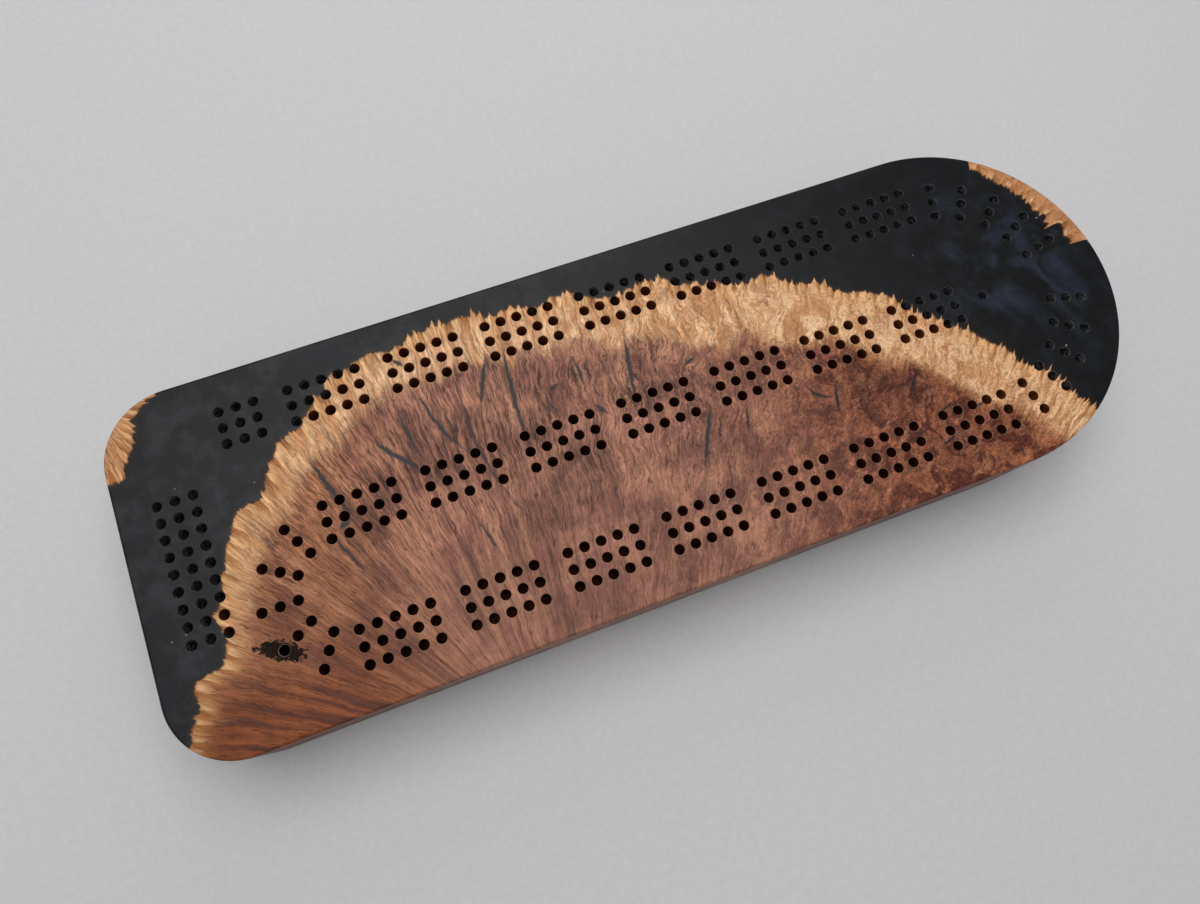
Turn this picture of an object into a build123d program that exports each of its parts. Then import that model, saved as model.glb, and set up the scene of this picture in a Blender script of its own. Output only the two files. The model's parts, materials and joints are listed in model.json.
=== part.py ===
"""Long three-track cribbage board in burl wood and black resin, with a flush drawer for its pegs.

Millimetres, +Z up, +X towards the round end, +Y towards the far long side.
The origin is under the middle of the board, on the surface that the feet stand on.
"""
from build123d import *
import math
import os

# ---- driving dimensions ----
INCH = 25.4
BOARD_LENGTH = 12.25 * INCH
BOARD_WIDTH = 4.25 * INCH
TOP_THICKNESS = 0.5 * INCH
CASE_THICKNESS = 0.75 * INCH
CORNER_RADIUS = 13 / 16 * INCH
EDGE_EASE = 0.8
FOOT_HEIGHT = 2.4
FOOT_RADIUS = 6.0
FOOT_SIDES = 12
FOOT_INSET = 11.0             # from the long sides to the middle of a foot

# peg holes
PITCH = 0.2 * INCH
HOLE_RADIUS = INCH / 16
HOLE_DEPTH = 0.375 * INCH
HOLE_SIDES = 6                # few facets, because there are 397 holes
TRACK_GROUPS = 7
HOLES_PER_GROUP = 5
TRACK_OFFSET = 7.25 * PITCH   # from the middle track to an outer track
FIRST_COLUMN_INSET = 10.75 * PITCH
TURN_INSET = 0.125 * PITCH    # the track turns this far beyond the round end's centre

# drawer and its pocket
POCKET_WIDTH = 54.0
DRAWER_LENGTH = 170.0
FRONT_THICKNESS = 12.0
DRAWER_WALL = 4.5
DRAWER_FLOOR = 3.0
FLOOR_LEDGE = 2.0
SIDE_JOINT = 4.0              # how far the sides are let into the front
SLIDE_GAP = 0.4               # beside and over the moving drawer
RUN_GAP = 0.3                 # under the drawer, and at the end of its travel
CATCH_GAP = 0.6               # between the shut drawer and the end of the pocket
STOP_DROP = 2.4
STOP_LENGTH = 6.0
STOP_INSET = 42.6             # from the square end to the stop bar
SCOOP_WIDTH = 30.0
SCOOP_HEIGHT = 9.0
SCOOP_DEPTH = 7.0
SCOOP_LIP = 3.0
SCOOP_UNDERCUT = 2.0

# bottom panel
PANEL_THICKNESS = 5.0
PANEL_LEDGE = 7.0
PANEL_GAP = 0.2

# block magnets
MAGNET_DEPTH = 3.0
MAGNET_WIDTH = 10.0
MAGNET_HEIGHT = 5.0
MAGNET_OFFSET = 14.0
MAGNET_GAP = 0.05

# pegs and their rack
PEG_PIN_RADIUS = 1.55
PEG_BODY_RADIUS = 2.4
PEG_PIN_LENGTH = 11.0
PEG_LENGTH = 36.0
PEG_SHOULDER_Z = 14.0
PEG_SIDES = 8
PEG_GAP = 0.1
PEG_SETS = ("pegs_brass", "pegs_steel", "pegs_black")
PEGS_PER_SET = 3
RACK_STEP = 7.0
RACK_HEIGHT = 4.0
RACK_GROOVE_DEPTH = 2.6

# ---- derived places ----
SQUARE_END = -BOARD_LENGTH / 2
NEAR_SIDE = -BOARD_WIDTH / 2
UNDERSIDE = FOOT_HEIGHT
CASE_TOP = UNDERSIDE + CASE_THICKNESS
BOARD_TOP = CASE_TOP + TOP_THICKNESS
ROUND_CENTRE_X = BOARD_LENGTH / 2 - BOARD_WIDTH / 2
TRACK_START_X = SQUARE_END + FIRST_COLUMN_INSET
TURN_CENTRE_X = ROUND_CENTRE_X + TURN_INSET
GROUP_STEP = (TURN_CENTRE_X - TRACK_START_X + 2 * PITCH) / TRACK_GROUPS

PANEL_TOP = UNDERSIDE + PANEL_THICKNESS
POCKET_END_X = SQUARE_END + DRAWER_LENGTH + CATCH_GAP
FRONT_BACK_X = SQUARE_END + FRONT_THICKNESS
DRAWER_WIDTH = POCKET_WIDTH - 2 * SLIDE_GAP
DRAWER_BASE_Z = PANEL_TOP + RUN_GAP
DRAWER_END_X = SQUARE_END + DRAWER_LENGTH
STOP_X = SQUARE_END + STOP_INSET
STOP_BASE_Z = CASE_TOP - STOP_DROP
SIDE_TOP_Z = STOP_BASE_Z - RUN_GAP
INNER_WIDTH = DRAWER_WIDTH - 2 * DRAWER_WALL
INNER_BASE_Z = DRAWER_BASE_Z + DRAWER_FLOOR
MAGNET_Z = (DRAWER_BASE_Z + CASE_TOP) / 2
RACK_LENGTH = RACK_STEP * len(PEG_SETS) * PEGS_PER_SET
RACK_START_X = FRONT_BACK_X + RUN_GAP

# The live edges of the burl, seen from above. Each line starts and ends off the board.
# The main one was drawn from the middle of a board of the drawn size and stretches with it.
DRAWN_LENGTH = 311.15
DRAWN_WIDTH = 107.95
OFF_BOARD = 6.0               # how far the burl regions reach past the outline
MAIN_LIVE_EDGE = [
    (-155, -50), (-149.5, -41), (-145.5, -29.5), (-138, -28.2), (-136.4, -18), (-131.5, -4.5),
    (-125.5, 8), (-121, 12.5), (-116, 13.5), (-110.5, 25), (-101, 30), (-89.5, 39), (-76, 44.5),
    (-60, 46), (-43, 47), (-24, 43), (-11, 43.5), (-2, 39.5), (14, 39), (33, 31.5), (56, 24),
    (79, 12), (97, -4.5), (113, -23.5), (124.5, -37), (129, -46), (134, -53),
]
# This one is drawn from the far square corner.
CORNER_LIVE_EDGE = [
    (-4.4, -24), (4.6, -23), (8.6, -15), (11.6, -8), (15.6, -4), (19.1, 2),
]
# And this one from the middle of the round end. It stretches with the board's width.
RIM_LIVE_EDGE = [
    (25.4, 52), (27.4, 42.5), (34.4, 35), (40.4, 27), (43.4, 18.5), (46.4, 13), (47.9, 7.5),
    (56.4, 5),
]


def box_between(x0, x1, y0, y1, z0, z1):
    """A box given by its limits."""
    place = Pos((x0 + x1) / 2, (y0 + y1) / 2, (z0 + z1) / 2)
    return place * Box(x1 - x0, y1 - y0, z1 - z0)


# ---- outline and live edges ----

def board_outline():
    """The plan of the board: two rounded corners at one end, a half circle at the other."""
    square_part = Pos(ROUND_CENTRE_X / 2 + SQUARE_END / 2, 0) * Rectangle(
        ROUND_CENTRE_X - SQUARE_END, BOARD_WIDTH)
    corners = square_part.vertices().group_by(Axis.X)[0]
    square_part = fillet(corners, CORNER_RADIUS)
    return square_part + Pos(ROUND_CENTRE_X, 0) * Circle(BOARD_WIDTH / 2)


def placed(points, start_x, start_y, stretch_x, stretch_y):
    """Points of a live edge, stretched and then moved to where the board has them."""
    return [(start_x + x * stretch_x, start_y + y * stretch_y) for x, y in points]


def region_beyond(live_edge, *outer_points):
    """The area between a live edge and a few points that lie off the board."""
    return make_face(Polyline(*live_edge, *outer_points, live_edge[0]))


def layer(outline, z0, z1):
    """The full plan between two heights."""
    return Pos(0, 0, z0) * extrude(outline, z1 - z0)


def burl_regions():
    """Tall solids that pick out the three pieces of burl."""
    longer = BOARD_LENGTH / DRAWN_LENGTH
    wider = BOARD_WIDTH / DRAWN_WIDTH
    beyond_far = BOARD_WIDTH / 2 + OFF_BOARD
    main_edge = placed(MAIN_LIVE_EDGE, 0, 0, longer, wider)
    corner_edge = placed(CORNER_LIVE_EDGE, SQUARE_END, BOARD_WIDTH / 2, 1, 1)
    rim_edge = placed(RIM_LIVE_EDGE, ROUND_CENTRE_X, 0, wider, wider)
    main = region_beyond(main_edge, (main_edge[-1][0], -beyond_far),
                         (main_edge[0][0], -beyond_far))
    corner = region_beyond(corner_edge, (corner_edge[0][0], beyond_far))
    rim = region_beyond(rim_edge, (rim_edge[-1][0], beyond_far))
    return [layer(face, 0, BOARD_TOP + 1) for face in (main, corner, rim)]


# ---- peg holes ----

def straight_track_holes():
    """Seven groups of five columns, three holes deep, on each of the three straights."""
    for track in (-1, 0, 1):
        for group in range(TRACK_GROUPS):
            for column in range(HOLES_PER_GROUP):
                for lane in (-1, 0, 1):
                    x = TRACK_START_X + group * GROUP_STEP + column * PITCH
                    yield x, track * TRACK_OFFSET + lane * PITCH


def turn_holes(centre_x, centre_y, radius, angles):
    """Three lanes of holes round the end of a track."""
    for lane in (-1, 0, 1):
        for angle in angles:
            reach = radius + lane * PITCH
            turn = math.radians(angle)
            yield centre_x + reach * math.cos(turn), centre_y + reach * math.sin(turn)


def block_holes(first_x, centre_y, columns, rows):
    """A plain rectangle of holes."""
    for column in range(columns):
        for row in range(rows):
            yield first_x + column * PITCH, centre_y + (row - (rows - 1) / 2) * PITCH


def hole_places():
    """Every peg hole of the board."""
    places = list(straight_track_holes())
    wide_turn = [side * step for side in (-1, 1) for step in (15, 30, 45, 60, 75)]
    places += turn_holes(TURN_CENTRE_X, 0, TRACK_OFFSET, wide_turn)
    places += turn_holes(TRACK_START_X, -TRACK_OFFSET / 2, TRACK_OFFSET / 2, range(120, 241, 30))
    places += block_holes(TRACK_START_X - 4 * PITCH, TRACK_OFFSET, 3, 3)
    places += block_holes(TRACK_START_X - 8.5 * PITCH, 0, 3, 9)
    places.append((TURN_CENTRE_X + 2 * PITCH, 0))
    return places


def peg_hole_cutters():
    """One prism for each blind hole."""
    profile = RegularPolygon(HOLE_RADIUS, HOLE_SIDES)
    prism = extrude(profile, HOLE_DEPTH + 1)
    base_z = BOARD_TOP - HOLE_DEPTH
    return [Pos(x, y, base_z) * prism for x, y in hole_places()]


# ---- the playing top ----

def top_blank(outline):
    """The playing top before its holes, with an eased upper edge."""
    slab = layer(outline, CASE_TOP, BOARD_TOP)
    return chamfer(slab.faces().sort_by(Axis.Z)[-1].edges(), EDGE_EASE)


def top_pieces(outline, burls):
    """The burl and resin pieces of the drilled top."""
    drilled = top_blank(outline) - peg_hole_cutters()
    main, corner, rim = burls
    return {
        "top_burl": drilled & main,
        "top_corner_burl": drilled & corner,
        "top_rim_burl": drilled & rim,
        "top_resin": drilled - burls,
    }


# ---- the case under the top ----

def case_blank(outline):
    """The layer that holds the drawer, with its pocket and the recess for the bottom panel."""
    slab = layer(outline, UNDERSIDE, CASE_TOP)
    slab = chamfer(slab.faces().sort_by(Axis.Z)[0].edges(), EDGE_EASE)
    half_pocket = POCKET_WIDTH / 2
    half_recess = half_pocket + PANEL_LEDGE
    pocket = box_between(SQUARE_END - 1, POCKET_END_X, -half_pocket, half_pocket,
                         UNDERSIDE - 1, CASE_TOP + 1)
    recess = box_between(FRONT_BACK_X, POCKET_END_X + PANEL_LEDGE, -half_recess, half_recess,
                         UNDERSIDE - 1, PANEL_TOP)
    return slab - pocket - recess


def case_pieces(outline, burls):
    """Two rails and an end block, each ripped from the same casting as the top."""
    blank = case_blank(outline)
    blank = blank - magnet_pair(POCKET_END_X, MAGNET_GAP)
    half_pocket = POCKET_WIDTH / 2
    half_width = BOARD_WIDTH / 2 + 1
    tall = (0, BOARD_TOP)
    near = box_between(SQUARE_END - 1, POCKET_END_X, -half_width, -half_pocket, *tall)
    far = box_between(SQUARE_END - 1, POCKET_END_X, half_pocket, half_width, *tall)
    end = box_between(POCKET_END_X, BOARD_LENGTH, -half_width, half_width, *tall)
    main, corner, rim = burls
    return {
        "near_rail_burl": blank & near & main,
        "near_rail_resin": (blank & near) - main,
        "far_rail_burl": blank & far & main,
        "far_rail_resin": (blank & far) - main - corner,
        "far_rail_corner": blank & far & corner,
        "end_block_burl": blank & end & main,
        "end_block_resin": (blank & end) - main - rim,
        "end_block_rim": blank & end & rim,
    }


def bottom_panel():
    """The panel that shuts the pocket and carries the drawer."""
    half = POCKET_WIDTH / 2 + PANEL_LEDGE - PANEL_GAP
    return box_between(FRONT_BACK_X + RUN_GAP, POCKET_END_X + PANEL_LEDGE - PANEL_GAP,
                       -half, half, UNDERSIDE, PANEL_TOP)


def magnet_pair(start_x, gap=0):
    """Two block magnets side by side, or their sockets when given a gap."""
    block = Box(MAGNET_DEPTH, MAGNET_WIDTH + 2 * gap, MAGNET_HEIGHT + 2 * gap)
    middle_x = start_x + MAGNET_DEPTH / 2
    return [Pos(middle_x, side * MAGNET_OFFSET, MAGNET_Z) * block for side in (-1, 1)]


def drawer_stop():
    """A bar under the top that catches the drawer's tall back."""
    half = INNER_WIDTH / 2
    return box_between(STOP_X, STOP_X + STOP_LENGTH, -half, half, STOP_BASE_Z, CASE_TOP)


def foot():
    """A low bumper with a many-sided rim and a bevelled tread."""
    tread = RegularPolygon(FOOT_RADIUS - EDGE_EASE, FOOT_SIDES)
    rim = Pos(0, 0, EDGE_EASE) * RegularPolygon(FOOT_RADIUS, FOOT_SIDES)
    return loft([tread, rim], ruled=True) + extrude(rim, FOOT_HEIGHT - EDGE_EASE)


def feet():
    """Two feet by the square corners and two under the round end."""
    square_x = SQUARE_END + CORNER_RADIUS + FOOT_RADIUS
    round_x = ROUND_CENTRE_X + FOOT_RADIUS
    outer_y = BOARD_WIDTH / 2 - FOOT_INSET
    return {
        "foot_square_near": Pos(square_x, -outer_y) * foot(),
        "foot_square_far": Pos(square_x, outer_y) * foot(),
        "foot_round_near": Pos(round_x, -outer_y) * foot(),
        "foot_round_far": Pos(round_x, outer_y) * foot(),
    }


# ---- the drawer ----

def finger_scoop():
    """The routed pull: a slot in the face whose inner part reaches up behind a lip."""
    turn = Rot(0, 90, 0)
    mouth = turn * extrude(SlotOverall(SCOOP_WIDTH, SCOOP_HEIGHT, rotation=90), SCOOP_DEPTH + 1)
    inner_height = SCOOP_HEIGHT + SCOOP_UNDERCUT
    inner = turn * extrude(SlotOverall(SCOOP_WIDTH, inner_height, rotation=90),
                           SCOOP_DEPTH - SCOOP_LIP)
    mid_z = (UNDERSIDE + CASE_TOP) / 2
    return [
        Pos(SQUARE_END - 1, 0, mid_z) * mouth,
        Pos(SQUARE_END + SCOOP_LIP, 0, mid_z + SCOOP_UNDERCUT / 2) * inner,
    ]


def drawer_front():
    """The flush front, which hides the end of the bottom panel and stops against it."""
    half = DRAWER_WIDTH / 2
    front = box_between(SQUARE_END, FRONT_BACK_X, -half, half, UNDERSIDE, CASE_TOP - SLIDE_GAP)
    front = chamfer(front.edges().group_by(Axis.X)[0], EDGE_EASE / 2)
    return front - finger_scoop() - [drawer_side(-1), drawer_side(1)]


def drawer_side(side):
    """A side let into the front, rebated along its inner foot for the floor."""
    outer = side * DRAWER_WIDTH / 2
    inner = outer - side * DRAWER_WALL
    y0, y1 = sorted((outer, inner))
    wall = box_between(FRONT_BACK_X - SIDE_JOINT, DRAWER_END_X, y0, y1, DRAWER_BASE_Z, SIDE_TOP_Z)
    return wall - drawer_floor()


def drawer_floor():
    """The floor, held in the rebates of both sides."""
    half = INNER_WIDTH / 2 + FLOOR_LEDGE
    return box_between(FRONT_BACK_X, DRAWER_END_X, -half, half,
                       DRAWER_BASE_Z, DRAWER_BASE_Z + DRAWER_FLOOR)


def drawer_back():
    """The back between the sides, tall enough to meet the stop bar."""
    half = INNER_WIDTH / 2
    back = box_between(DRAWER_END_X - DRAWER_WALL, DRAWER_END_X, -half, half,
                       INNER_BASE_Z, CASE_TOP - SLIDE_GAP)
    return back - drawer_magnets(MAGNET_GAP)


def drawer_magnets(gap=0):
    """The pair of magnets let into the back, flush with its outer face."""
    return magnet_pair(DRAWER_END_X - MAGNET_DEPTH, gap)


def groove_x(index):
    """The middle of one groove of the rack."""
    return RACK_START_X + (index + 0.5) * RACK_STEP


def peg_rack():
    """A block with a V-groove across it for each peg."""
    half = INNER_WIDTH / 2
    top_z = INNER_BASE_Z + RACK_HEIGHT
    block = box_between(RACK_START_X, RACK_START_X + RACK_LENGTH, -half, half, INNER_BASE_Z, top_z)
    side = RACK_GROOVE_DEPTH * math.sqrt(2)
    cutter = Rot(0, 45, 0) * Box(side, INNER_WIDTH + 2, side)
    count = len(PEG_SETS) * PEGS_PER_SET
    return block - [Pos(groove_x(i), 0, top_z) * cutter for i in range(count)]


def peg():
    """A faceted peg standing on its pin, with a thicker body above a sloped shoulder."""
    pin = extrude(RegularPolygon(PEG_PIN_RADIUS, PEG_SIDES), PEG_PIN_LENGTH)
    foot_face = Pos(0, 0, PEG_PIN_LENGTH) * RegularPolygon(PEG_PIN_RADIUS, PEG_SIDES)
    shoulder_face = Pos(0, 0, PEG_SHOULDER_Z) * RegularPolygon(PEG_BODY_RADIUS, PEG_SIDES)
    shoulder = loft([foot_face, shoulder_face], ruled=True)
    body = extrude(shoulder_face, PEG_LENGTH - PEG_SHOULDER_Z)
    return pin + shoulder + body


def peg_sets():
    """Three pegs for each of three players, lying in the rack."""
    groove_floor = INNER_BASE_Z + RACK_HEIGHT - RACK_GROOVE_DEPTH
    axis_z = groove_floor + (PEG_BODY_RADIUS + PEG_GAP) * math.sqrt(2)
    lying = Rot(90, 0, 0) * peg()
    sets = {}
    for number, name in enumerate(PEG_SETS):
        indices = range(number * PEGS_PER_SET, (number + 1) * PEGS_PER_SET)
        sets[name] = [Pos(groove_x(i), PEG_LENGTH / 2, axis_z) * lying for i in indices]
    return sets


def all_nodes():
    """Every named piece of the object."""
    outline = board_outline()
    burls = burl_regions()
    nodes = top_pieces(outline, burls)
    nodes.update(case_pieces(outline, burls))
    nodes.update(feet())
    nodes["bottom_panel"] = bottom_panel()
    nodes["case_magnets"] = magnet_pair(POCKET_END_X)
    nodes["drawer_stop"] = drawer_stop()
    nodes["drawer_front"] = drawer_front()
    nodes["drawer_side_near"] = drawer_side(-1)
    nodes["drawer_side_far"] = drawer_side(1)
    nodes["drawer_floor"] = drawer_floor()
    nodes["drawer_back"] = drawer_back()
    nodes["drawer_magnets"] = drawer_magnets()
    nodes["peg_rack"] = peg_rack()
    nodes.update(peg_sets())
    return nodes


os.makedirs("parts", exist_ok=True)
for node_name, shape in all_nodes().items():
    if isinstance(shape, list):
        shape = Compound(children=shape)
    export_step(shape, "parts/" + node_name + ".step")
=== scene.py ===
"""A long cribbage board in burl wood and black resin, with a peg drawer in its square end.

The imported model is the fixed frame. This script dresses it: finer solids for the board with round
holes, softened drawer pieces, turned pegs, and the woods, resin and metals that they are made of.
Lengths are written in millimetres and turned into metres by MM.
"""
import json
import math

import bmesh
import bpy
from mathutils import Matrix, Vector


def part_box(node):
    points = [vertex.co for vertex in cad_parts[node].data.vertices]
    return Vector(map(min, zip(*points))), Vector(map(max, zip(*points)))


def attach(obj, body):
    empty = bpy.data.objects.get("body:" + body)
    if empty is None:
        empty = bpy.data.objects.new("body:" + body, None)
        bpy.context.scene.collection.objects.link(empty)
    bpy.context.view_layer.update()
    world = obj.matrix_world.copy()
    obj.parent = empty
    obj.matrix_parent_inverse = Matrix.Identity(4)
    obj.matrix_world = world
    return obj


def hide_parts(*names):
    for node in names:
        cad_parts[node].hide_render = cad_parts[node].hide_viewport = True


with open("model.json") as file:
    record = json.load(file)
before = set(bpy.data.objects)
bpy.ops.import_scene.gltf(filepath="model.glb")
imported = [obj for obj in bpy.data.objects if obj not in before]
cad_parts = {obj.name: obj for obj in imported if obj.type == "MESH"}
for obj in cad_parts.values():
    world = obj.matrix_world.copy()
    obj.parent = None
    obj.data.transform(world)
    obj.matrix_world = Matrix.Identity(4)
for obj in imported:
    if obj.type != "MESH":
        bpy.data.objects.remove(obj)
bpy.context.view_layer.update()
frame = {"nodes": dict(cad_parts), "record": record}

MM = 0.001
INCH = 25.4
# A hair over a face, how far a cutter runs past its work, and how near points are merged.
HAIR = 0.02
OVERSHOOT = 1
MERGE_DISTANCE = 0.01

# ---- the board ----
BOARD_LENGTH = 12.25 * INCH
BOARD_WIDTH = 4.25 * INCH
CORNER_RADIUS = 13 / 16 * INCH
EDGE_EASE = 0.8
CORNER_SEGMENTS, ROUND_SEGMENTS, EASE_SEGMENTS = 24, 64, 4
BOARD_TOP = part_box("top_resin")[1].z / MM
CASE_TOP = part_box("top_resin")[0].z / MM
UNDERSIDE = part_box("end_block_resin")[0].z / MM
SQUARE_END = -BOARD_LENGTH / 2
ROUND_CENTRE_X = BOARD_LENGTH / 2 - BOARD_WIDTH / 2

# ---- the peg holes ----
PITCH = 0.2 * INCH
HOLE_RADIUS = INCH / 16
HOLE_DEPTH = 0.375 * INCH
HOLE_SIDES = 18
HOLE_MOUTH = 0.18
TRACK_GROUPS = 7
HOLES_PER_GROUP = 5
TRACK_OFFSET = 7.25 * PITCH
TRACK_START_X = SQUARE_END + 10.75 * PITCH
TURN_CENTRE_X = TRACK_START_X + 40 * PITCH
SMALL_BLOCK_X = TRACK_START_X - 4 * PITCH
LARGE_BLOCK_X = TRACK_START_X - 8.5 * PITCH
FINISH_X = TURN_CENTRE_X + 2 * PITCH

# ---- the drawer's pocket ----
POCKET_HALF_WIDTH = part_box("far_rail_burl")[0].y / MM
POCKET_END_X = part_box("end_block_burl")[0].x / MM
PANEL_LOW, PANEL_HIGH = (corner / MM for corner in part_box("bottom_panel"))
PANEL_GAP = 0.2
FRONT_BACK_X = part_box("drawer_front")[1].x / MM
MAGNET_WIDTH = 10
MAGNET_GAP = 0.15

# The live edges of the burl, seen from above. Each line starts and ends off the board.
MAIN_LIVE_EDGE = [
    (-155, -50), (-149.5, -41), (-145.5, -29.5), (-138, -28.2), (-136.4, -18), (-131.5, -4.5),
    (-125.5, 8), (-121, 12.5), (-116, 13.5), (-110.5, 25), (-101, 30), (-89.5, 39), (-76, 44.5),
    (-60, 46), (-43, 47), (-24, 43), (-11, 43.5), (-2, 39.5), (14, 39), (33, 31.5), (56, 24),
    (79, 12), (97, -4.5), (113, -23.5), (124.5, -37), (129, -46), (134, -53),
]
CORNER_LIVE_EDGE = [(-160, 30), (-151, 31), (-147, 39), (-144, 46), (-140, 50), (-136.5, 56)]
RIM_LIVE_EDGE = [
    (127, 52), (129, 42.5), (136, 35), (142, 27), (145, 18.5), (148, 13), (149.5, 7.5), (158, 5),
]
# The same edges as they are seen on the playing face, with their lumps and steps.
MAIN_SEEN_EDGE = [
    (-155, -50), (-150.5, -45.3), (-148.6, -40.3), (-146.1, -36.5), (-146.5, -31.5),
    (-144.9, -29.6), (-137.4, -28.4), (-136.1, -24), (-134.9, -20.9), (-137.2, -15.3),
    (-135, -12.1), (-133, -9), (-132.4, -4), (-130.2, -2.6), (-129.9, 2.3), (-127.4, 5.4),
    (-125.8, 9.1), (-123.6, 12.3), (-120.5, 12.4), (-116.8, 12.9), (-114.6, 15.4),
    (-114.3, 18.5), (-111.1, 22.3), (-110.2, 24.9), (-106.3, 28.4), (-101.9, 28.9),
    (-98.1, 32.4), (-95, 35.9), (-90.6, 38.4), (-90, 40.6), (-84.4, 42.4), (-81.3, 43.7),
    (-75.6, 45.6), (-68.8, 43.7), (-67.5, 44.9), (-63.1, 44.8), (-61.9, 46.5), (-55.6, 47.2),
    (-51.9, 46.6), (-48.4, 47.8), (-41.3, 46.5), (-36.3, 43.9), (-33.1, 45.8), (-26.3, 43.7),
    (-20.8, 42.7), (-17.5, 45), (-14.3, 43.9), (-12.3, 44.8), (-9.6, 43.4), (-5.1, 40.1),
    (0.4, 38.4), (3.2, 38.2), (9.3, 39.6), (14.1, 39.8), (18.8, 38.2), (21, 35.4), (26, 34.6),
    (28.8, 33), (32.7, 33.2), (39.9, 29), (43.5, 28.6), (47, 30.5), (52.5, 27.1), (55.6, 23.7),
    (58.8, 22.3), (63.6, 22.4), (66, 18.6), (70, 15.8), (75.5, 14.6), (80, 12), (83.8, 9.8),
    (87.5, 2.8), (91, 0), (95.6, -2.6), (99.5, -7), (102.8, -9.6), (106.3, -13.8),
    (112.3, -20.4), (112.6, -23.5), (114.8, -26.6), (118.5, -27), (120.5, -30.5),
    (123.6, -34.4), (124.6, -38.9), (126.4, -42.2), (129, -46), (134, -53),
]
CORNER_SEEN_EDGE = [
    (-160, 30), (-154.5, 30.4), (-150, 31), (-150.3, 34.4), (-147.4, 37.3), (-145.2, 42.3),
    (-145, 47.3), (-141.8, 49.8), (-140, 52), (-136.5, 54),
]
RIM_SEEN_EDGE = [
    (127, 52), (130.1, 44.6), (129, 42.2), (131.8, 40.1), (134, 36.8), (135.1, 34.6),
    (137.9, 32.9), (138.4, 30.1), (141.8, 27.3), (142.3, 21.8), (145.1, 19), (144.8, 15.2),
    (148.6, 14.4), (149, 12.6), (147.4, 10.1), (149.6, 7), (154, 6.4), (158, 5),
]
# The live edge is measured from the first of these points and the fibres fan out from the second.
FAN_CENTRE = (-40, -85)
FIBRE_CENTRE = (-60, -85)
CORNER_CENTRE = (-158, 57)
RIM_CENTRE = (ROUND_CENTRE_X, 0)
# No edge lies farther from its centre than this.
FAN_REACH, CORNER_REACH, RIM_REACH = 220, 60, 80
# The radius at which a place round each centre is counted in millimetres.
FAN_RADIUS, CORNER_FIBRE_RADIUS, RIM_FIBRE_RADIUS = 110, 24, 50


# ==== shapes ====

def millimetres(bm):
    """Turns a bmesh drawn in millimetres into metres."""
    bmesh.ops.scale(bm, vec=(MM, MM, MM), verts=bm.verts)


def as_object(bm, name):
    """Keeps a bmesh as an object at the origin."""
    mesh = bpy.data.meshes.new(name)
    bmesh.ops.recalc_face_normals(bm, faces=bm.faces)
    bm.to_mesh(mesh)
    bm.free()
    piece = bpy.data.objects.new(name, mesh)
    bpy.context.scene.collection.objects.link(piece)
    return piece


def block(low, high, bm=None):
    """A box between two corners, on its own or added to a bmesh."""
    bm = bmesh.new() if bm is None else bm
    middle = [(a + b) / 2 for a, b in zip(low, high)]
    size = [b - a for a, b in zip(low, high)]
    place = Matrix.Translation(middle) @ Matrix.Diagonal((*size, 1))
    bmesh.ops.create_cube(bm, size=1, matrix=place)
    return bm


def raised(bm, height):
    """Extrudes every face of a flat bmesh upwards."""
    result = bmesh.ops.extrude_face_region(bm, geom=bm.faces[:])
    tops = [item for item in result["geom"] if isinstance(item, bmesh.types.BMVert)]
    bmesh.ops.translate(bm, vec=(0, 0, height), verts=tops)
    bmesh.ops.recalc_face_normals(bm, faces=bm.faces)


def rounded(bm, corners, radius, segments):
    """Turns corners of a flat outline into arcs."""
    bmesh.ops.bevel(bm, geom=corners, offset=radius, offset_type="OFFSET", segments=segments,
                    profile=0.5, affect="VERTICES", material=-1)


def eased(bm, edges, width, segments):
    """Rounds over a run of edges."""
    bmesh.ops.bevel(bm, geom=edges, offset=width, offset_type="OFFSET", segments=segments,
                    profile=0.5, affect="EDGES", material=-1)


def board_blank(low_z, high_z, eased_z):
    """The whole plan of the board between two heights, rounded over at one of them."""
    bm = bmesh.new()
    bmesh.ops.create_grid(bm, x_segments=1, y_segments=1, size=0.5)
    bmesh.ops.scale(bm, vec=(BOARD_LENGTH, BOARD_WIDTH, 1), verts=bm.verts)
    bmesh.ops.translate(bm, vec=(0, 0, low_z), verts=bm.verts)
    rounded(bm, [v for v in bm.verts if v.co.x < 0], CORNER_RADIUS, CORNER_SEGMENTS)
    rounded(bm, [v for v in bm.verts if v.co.x > BOARD_LENGTH / 2 - 1], BOARD_WIDTH / 2,
            ROUND_SEGMENTS)
    bmesh.ops.remove_doubles(bm, verts=bm.verts, dist=MERGE_DISTANCE)
    raised(bm, high_z - low_z)
    rim = [e for e in bm.edges if all(abs(v.co.z - eased_z) < MERGE_DISTANCE for v in e.verts)]
    eased(bm, rim, EDGE_EASE, EASE_SEGMENTS)
    return bm


def region_prism(live_edge, *outer_points):
    """A tall prism over the ground between a live edge and a few points off the board."""
    bm = bmesh.new()
    bm.faces.new([bm.verts.new((x, y, -OVERSHOOT)) for x, y in (*live_edge, *outer_points)])
    raised(bm, BOARD_TOP + 2 * OVERSHOOT)
    return bm


def carved(blank, name, cuts):
    """A new object: the blank after each boolean cut, given as (operation, cutter)."""
    piece = bpy.data.objects.new(name, blank.data.copy())
    bpy.context.scene.collection.objects.link(piece)
    for operation, cutter in cuts:
        cut = piece.modifiers.new(operation, "BOOLEAN")
        cut.operation = operation
        cut.solver = "MANIFOLD"
        cut.object = cutter
    solid = bpy.data.meshes.new_from_object(
        piece.evaluated_get(bpy.context.evaluated_depsgraph_get()))
    piece.modifiers.clear()
    piece.data = solid
    solid.name = name
    return piece


# ==== peg holes ====

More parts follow.
